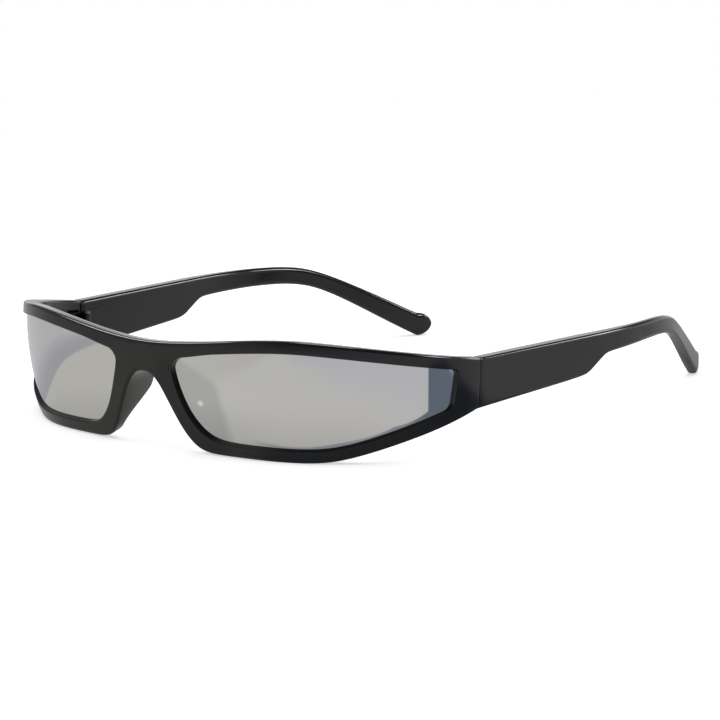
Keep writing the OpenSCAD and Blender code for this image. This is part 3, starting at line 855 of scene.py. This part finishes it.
def two_tone(tree, value, dark, light):
    ramp = node(tree, "ShaderNodeValToRGB")
    for stop, position, tone in zip(ramp.color_ramp.elements, TONE_SPAN, (dark, light)):
        stop.position = position
        stop.color = (*tone, 1)
    tree.links.new(value, ramp.inputs["Fac"])
    return ramp.outputs["Color"]


def paint(tree, shader, noise, dark, light):
    tree.links.new(two_tone(tree, noise, dark, light), shader.inputs["Base Color"])


def roughen(tree, shader, noise, low, high):
    tree.links.new(ranged(tree, noise, *NOISE_SPAN, low, high), shader.inputs["Roughness"])


def bumped(tree, shader, noise, height_mm, strength):
    bump = node(tree, "ShaderNodeBump", Strength=strength, Distance=height_mm * MM)
    tree.links.new(noise, bump.inputs["Height"])
    tree.links.new(bump.outputs["Normal"], shader.inputs["Normal"])


def toned(tone, share):
    return tuple(share * part for part in tone)


def gloss_black(name):
    made, tree, shader = blank_material(name, "ShaderNodeBsdfPrincipled")
    shader.inputs["IOR"].default_value = PLASTIC_IOR
    clouds = object_noise(tree, size_mm=9)
    paint(tree, shader, clouds, toned(BLACK_TONE, DARKER), toned(BLACK_TONE, LIGHTER))
    roughen(tree, shader, object_noise(tree, size_mm=2.5, detail=4), low=0.11, high=0.16)
    bumped(tree, shader, object_noise(tree, size_mm=2, detail=1), height_mm=0.0006, strength=0.5)
    return made


def mirror_coat(name):
    made, tree, shader = blank_material(name, "ShaderNodeBsdfPrincipled")
    shader.inputs["Metallic"].default_value = 1.0
    paint(tree, shader, object_noise(tree, size_mm=26, detail=1), *MIRROR_TONES)
    roughen(tree, shader, object_noise(tree, size_mm=6, detail=3), low=0.03, high=0.075)
    return made


def lens_rear(name):
    made, tree, shader = blank_material(name, "ShaderNodeBsdfPrincipled")
    shader.inputs["IOR"].default_value = LENS_IOR
    paint(tree, shader, object_noise(tree, size_mm=18, detail=1), *REAR_TONES)
    roughen(tree, shader, object_noise(tree, size_mm=5, detail=3), low=0.05, high=0.1)
    return made


def plated_steel(name, tone, rough):
    made, tree, shader = blank_material(name, "ShaderNodeBsdfPrincipled")
    shader.inputs["Metallic"].default_value = 1.0
    paint(tree, shader, object_noise(tree, size_mm=0.7, detail=3), toned(tone, DARKER), tone)
    scratches = object_noise(tree, size_mm=0.35, detail=3, stretch=BRUSHED)
    roughen(tree, shader, scratches, low=rough * SMOOTHER, high=rough * ROUGHER)
    grain = object_noise(tree, size_mm=0.25, detail=2, stretch=BRUSHED)
    bumped(tree, shader, grain, height_mm=0.004, strength=0.4)
    return made


front_black = gloss_black("front_gloss_black")
temple_black = gloss_black("temple_gloss_black")
mirror_front = mirror_coat("lens_mirror_coat")
mirror_rear = lens_rear("lens_rear_tint")
black_nickel = plated_steel("black_nickel", BLACK_NICKEL_TONE, rough=0.3)
grey_nickel = plated_steel("grey_nickel", GREY_NICKEL_TONE, rough=0.24)


def stands_for(piece, nodes, body, slot, *materials):
    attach(piece, body)
    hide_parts(*nodes)
    for made in materials:
        piece.data.materials.append(made)


stands_for(front, ["front_frame"], "front", "front_plastic", front_black)
stands_for(lens_left, ["lens_left"], "front", "lens_mirror", mirror_front, mirror_rear)
stands_for(lens_right, ["lens_right"], "front", "lens_mirror", mirror_front, mirror_rear)
stands_for(temple_left, ["temple_left"], "left_arm", "temple_plastic", temple_black)
stands_for(temple_right, ["temple_right"], "right_arm", "temple_plastic", temple_black)

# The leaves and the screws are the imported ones, in new materials
for name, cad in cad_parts.items():
    if "hinge" in name:
        cad.data.materials.clear()
        cad.data.materials.append(grey_nickel if "screw" in name else black_nickel)

# Floor: it is seen white, and glossy rays see a painted reflection of a table in soft tones
FLOOR_HALF = 3.0
FLOOR_TONE = 0.80
FLOOR_GRAIN = 0.01
FLOOR_LIFT = 0.57
# Glow of the painted reflection in glossy rays, which is no lamp, and the share of it that glows
TABLE_GLOW = 1.06
TABLE_GLOW_SHARE = 0.5
# Distances from the object, in metres, between which the floor runs into the white of the backdrop
BACKDROP_START = 0.2
BACKDROP_END = 0.6

# Painted reflection: tones of a table as the lenses show them, so each is divided by the lens's own
# reflectance
LENS_SHARE = 0.66
# The two shadow tones are a painted shadow of the object, and the glint tone is a painted highlight
PAINTED_REFLECTION = {"mid": (0.474, 0.468, 0.451), "right": (0.434, 0.429, 0.456), "left": (0.440, 0.434, 0.413),
         "dim": (0.371, 0.373, 0.361), "cool": (0.315, 0.315, 0.335), "pale": (0.42, 0.42, 0.43),
         "shadow_blue": (0.102, 0.125, 0.159), "shadow_haze": (0.246, 0.266, 0.292), "painted_glint": (0.75, 0.64, 0.58)}

# Borders on the table, in millimetres seen from above: a line, and the distances to the left of it at
# which the next tone starts and is full. The first two lines measure x and y themselves
X_LINE = ((0, 0), (0, -1))
Y_LINE = ((0, 0), (1, 0))
# Darker zones of the painted reflection, one by the nose of the near lens and one across the far lens
DIM_LINE = ((-2.5, -124.9), (15.3, -92.7))
COOL_LINE = ((-136, -168), (-60, -70))
LEFT_TO_MID = (X_LINE, -25, 5)
MID_TO_RIGHT = (X_LINE, 50, 150)
DIM_NEAR = (DIM_LINE, -5.5, -2)
DIM_FADE = (DIM_LINE, 34, 22)
DIM_FAR = (((-50.1, -172.1), (-2.5, -124.9)), -12, -3)
COOL_START = (COOL_LINE, -1, 2.5)
COOL_TO_PALE = (COOL_LINE, 5, 60)
# Painted shadow of the object on the mirrored table, from a pale haze to blue along x, and the borders
# that hold it
SHADOW_HAZE_TO_BLUE = (X_LINE, 60, 100)
SHADOW_END = (((104, -50.3), (189, -39.2)), -0.8, 0.8)
SHADOW_END_LEFT = (X_LINE, 28, 42)
SHADOW_LOW_LEFT = (X_LINE, 25, 40)
SHADOW_BACK = (Y_LINE, 5, -9)
SHADOW_RIGHT = (X_LINE, 235, 205)
# The painted shadow's border under the lens's lower edge has a corner between two lines
SHADOW_LOW_LINE = ((36.7, -86.1), (69.8, -71.8))
SHADOW_LOW_TURN = ((78, -68.1), (95, -54.2))
SHADOW_LOW_SOFT = (-0.3, 0.6)
# Painted highlight on the mirrored table
# A small round glint in the near lens, so a long one on the table: its middle, the direction across
# it, its length over its width, and its radius
GLINT = (1.0, -110.2)
GLINT_ACROSS = (-0.85, 0.53)
GLINT_LONG = 3.2
GLINT_R = 1.2


def beyond(tree, place, line):
    """Distance in millimetres to the left of a line, seen from above."""
    start, end = (np.array(point, float) for point in line)
    along = end - start
    side = np.array([-along[1], along[0]]) / np.linalg.norm(along)
    distance = dot_with(tree, place, (side[0] / MM, side[1] / MM, 0))
    return maths(tree, "SUBTRACT", distance, float(side @ start))


def tinted(tree, base, share, colour):
    """The base colour, turned to another by a share."""
    made = node(tree, "ShaderNodeMix", data_type="RGBA")
    tree.links.new(share, made.inputs["Factor"])
    for socket, value in ((made.inputs["A"], base), (made.inputs["B"], colour)):
        if isinstance(value, tuple):
            socket.default_value = (*(part / LENS_SHARE for part in value), 1)
        else:
            tree.links.new(value, socket)
    return made.outputs["Result"]


def glint_share(tree, place):
    (x, y), (across_x, across_y) = GLINT, GLINT_ACROSS
    along = beyond(tree, place, (GLINT, (x + across_x, y + across_y)))
    along = maths(tree, "DIVIDE", along, GLINT_LONG)
    across = beyond(tree, place, (GLINT, (x - across_y, y + across_x)))
    apart = maths(tree, "ADD", product(tree, along, along), product(tree, across, across))
    return step(tree, apart, GLINT_R ** 2, 0)


# Colour of the painted reflection: table tones, darker zones, the painted shadow of the object and a
# painted glint
def painted_reflection_colour(tree, place):
    def past(border):
        line, start, end = border
        return step(tree, beyond(tree, place, line), start, end)

    colour = tinted(tree, PAINTED_REFLECTION["left"], past(LEFT_TO_MID), PAINTED_REFLECTION["mid"])
    colour = tinted(tree, colour, past(MID_TO_RIGHT), PAINTED_REFLECTION["right"])
    dim = product(tree, past(DIM_NEAR), past(DIM_FAR), past(DIM_FADE))
    colour = tinted(tree, colour, dim, PAINTED_REFLECTION["dim"])
    cool = tinted(tree, PAINTED_REFLECTION["cool"], past(COOL_TO_PALE), PAINTED_REFLECTION["pale"])
    colour = tinted(tree, colour, past(COOL_START), cool)
    end_part = product(tree, past(SHADOW_END), past(SHADOW_END_LEFT))
    low = maths(tree, "MINIMUM", beyond(tree, place, SHADOW_LOW_LINE), beyond(tree, place, SHADOW_LOW_TURN))
    low_part = product(tree, step(tree, low, *SHADOW_LOW_SOFT), past(SHADOW_LOW_LEFT))
    within = product(tree, past(SHADOW_BACK), past(SHADOW_RIGHT))
    shadow_blue = tinted(tree, PAINTED_REFLECTION["shadow_haze"], past(SHADOW_HAZE_TO_BLUE), PAINTED_REFLECTION["shadow_blue"])
    colour = tinted(tree, colour, product(tree, larger(tree, end_part, low_part), within), shadow_blue)
    return tinted(tree, colour, glint_share(tree, place), PAINTED_REFLECTION["painted_glint"])


def floor_material():
    made, tree, both = blank_material("pale_floor", "ShaderNodeMixShader")
    place = node(tree, "ShaderNodeTexCoord").outputs["Object"]
    grain = node(tree, "ShaderNodeTexNoise", Scale=40.0, Detail=2.0)
    tree.links.new(place, grain.inputs["Vector"])
    dark, light = (FLOOR_TONE - FLOOR_GRAIN,) * 3, (FLOOR_TONE + FLOOR_GRAIN,) * 3
    tone = two_tone(tree, grain.outputs["Fac"], dark, light)
    seen = seen_directly(tree)
    lit = added(tree, diffuse(tree, tone), glow(tree, product(tree, seen, FLOOR_LIFT)))
    away = node(tree, "ShaderNodeVectorMath", operation="LENGTH")
    tree.links.new(place, away.inputs[0])
    backdrop = step(tree, away.outputs["Value"], BACKDROP_START, BACKDROP_END)
    plain = blended(tree, product(tree, backdrop, seen), lit, glow(tree, 1.0))
    # Painted reflection: glossy rays see the painted table tones; a share of it glows though it is no
    # lamp, and the rest is shaded by the object
    painted_table = painted_reflection_colour(tree, place)
    mirrored = blended(tree, TABLE_GLOW_SHARE, diffuse(tree, painted_table), glow(tree, TABLE_GLOW, painted_table))
    tree.links.new(node(tree, "ShaderNodeLightPath").outputs["Is Glossy Ray"], both.inputs[0])
    tree.links.new(plain, both.inputs[1])
    tree.links.new(mirrored, both.inputs[2])
    return made


def stage_mesh(name, points, faces, made):
    mesh = bpy.data.meshes.new(name)
    mesh.from_pydata(points, [], faces)
    mesh.materials.append(made)
    thing = bpy.data.objects.new(name, mesh)
    bpy.context.scene.collection.objects.link(thing)


floor_points = [(-FLOOR_HALF, -FLOOR_HALF, 0), (FLOOR_HALF, -FLOOR_HALF, 0),
                (FLOOR_HALF, FLOOR_HALF, 0), (-FLOOR_HALF, FLOOR_HALF, 0)]
stage_mesh("floor", floor_points, [(0, 1, 2, 3)], floor_material())

# Surround: white where it is seen; as a light, a pale wall low behind the object, a soft panel on
# the left and a dim room elsewhere. Each part has a direction and the cosines where it starts and is full
ROOM = 0.13
WALL = 0.9
WALL_WAY = (0, 1, 0)
WALL_SOFT = (0.1, 0.6)
WALL_TOP_WAY = (0, 0, 1)
WALL_TOP_SOFT = (0.45, 0.15)
PANEL = 0.26
PANEL_WAY = (-0.83, -0.5, 0.3)
PANEL_SOFT = (0.45, 0.85)


def facing(tree, way, soft):
    """1 in rays that run along a direction, 0 in the others, smooth between."""
    length = math.sqrt(sum(part * part for part in way))
    toward = node(tree, "ShaderNodeTexCoord").outputs["Generated"]
    return step(tree, dot_with(tree, toward, tuple(part / length for part in way)), *soft)


def studio_world():
    made = bpy.data.worlds.new("studio")
    made.use_nodes = True
    tree = made.node_tree
    tree.nodes.clear()
    white = node(tree, "ShaderNodeBackground", Color=(1, 1, 1, 1), Strength=1.0)
    soft = node(tree, "ShaderNodeBackground", Color=(1, 1, 1, 1))
    low_wall = product(tree, facing(tree, WALL_WAY, WALL_SOFT), facing(tree, WALL_TOP_WAY, WALL_TOP_SOFT))
    wall = product(tree, low_wall, WALL)
    panel = product(tree, facing(tree, PANEL_WAY, PANEL_SOFT), PANEL)
    tree.links.new(maths(tree, "ADD", larger(tree, wall, panel), ROOM), soft.inputs["Strength"])
    output = node(tree, "ShaderNodeOutputWorld")
    tree.links.new(blended(tree, seen_directly(tree), soft.outputs[0], white.outputs[0]),
                   output.inputs["Surface"])
    return made


bpy.context.scene.world = studio_world()

# Lamps: place in metres, size and watts. The large one lights the floor; the others are seen only in
# the gloss, as fine lines along the edges
FLOOR_LAMP = ("overhead", (0, 0, 1.0), (1.6, 1.6), 12.5)
EDGE_LAMPS = [
    ("edge_above", (-0.05, 0.05, 1.0), (0.4, 0.3), 4.5),
    ("edge_behind", (0.4, 0.85, 0.55), (0.3, 0.2), 2.2),
    ("edge_right", (0.62, 0.47, 0.74), (0.3, 0.2), 3.5),
    ("edge_left", (-0.7, -0.2, 0.8), (0.3, 0.2), 2.2),
]


def soft_lamp(name, place, size, watts):
    """An area lamp that faces the origin."""
    lamp = bpy.data.lights.new(name, "AREA")
    lamp.shape = "RECTANGLE"
    lamp.size, lamp.size_y = size
    lamp.energy = watts
    thing = bpy.data.objects.new(name, lamp)
    thing.location = place
    thing.rotation_euler = (Vector((0, 0, 0)) - Vector(place)).to_track_quat("-Z", "Y").to_euler()
    bpy.context.scene.collection.objects.link(thing)
    return thing


soft_lamp(*FLOOR_LAMP).visible_glossy = False
for edge_lamp in EDGE_LAMPS:
    soft_lamp(*edge_lamp).visible_diffuse = False

# Camera, solved from matching points of the near and far halves in the photograph; its target and
# distance are in millimetres, and the target's y counts from the sheet's own origin
CAMERA_AZ = math.radians(39.584)
CAMERA_EL = math.radians(10.439)
CAMERA_ROLL = math.radians(-0.231)
CAMERA_TARGET = (48.668, 32.67, 24.706)
CAMERA_FAR = 1048.417
CAMERA_FOCAL_PX = 4132.815
PHOTO_PX = 720
SENSOR_MM = 36.0
CLIP_START = 0.01
CLIP_END = 20


def photo_camera():
    data = bpy.data.cameras.new("camera")
    data.sensor_width = SENSOR_MM
    data.lens = CAMERA_FOCAL_PX / PHOTO_PX * SENSOR_MM
    data.clip_start = CLIP_START
    data.clip_end = CLIP_END
    back = np.array([math.sin(CAMERA_AZ) * math.cos(CAMERA_EL), -math.cos(CAMERA_AZ) * math.cos(CAMERA_EL),
                     math.sin(CAMERA_EL)])
    level = np.array([math.cos(CAMERA_AZ), math.sin(CAMERA_AZ), 0])
    upright = np.cross(back, level)
    right = level * math.cos(CAMERA_ROLL) + upright * math.sin(CAMERA_ROLL)
    up = -level * math.sin(CAMERA_ROLL) + upright * math.cos(CAMERA_ROLL)
    target = np.array(CAMERA_TARGET) + [0, SHIFT_Y, 0]
    place = (target + back * CAMERA_FAR) * MM
    made = bpy.data.objects.new("camera", data)
    made.matrix_world = Matrix([*zip(right, up, back, place), (0, 0, 0, 1)])
    bpy.context.scene.collection.objects.link(made)
    return made


bpy.context.scene.camera = photo_camera()
bpy.context.scene.view_settings.view_transform = "Standard"
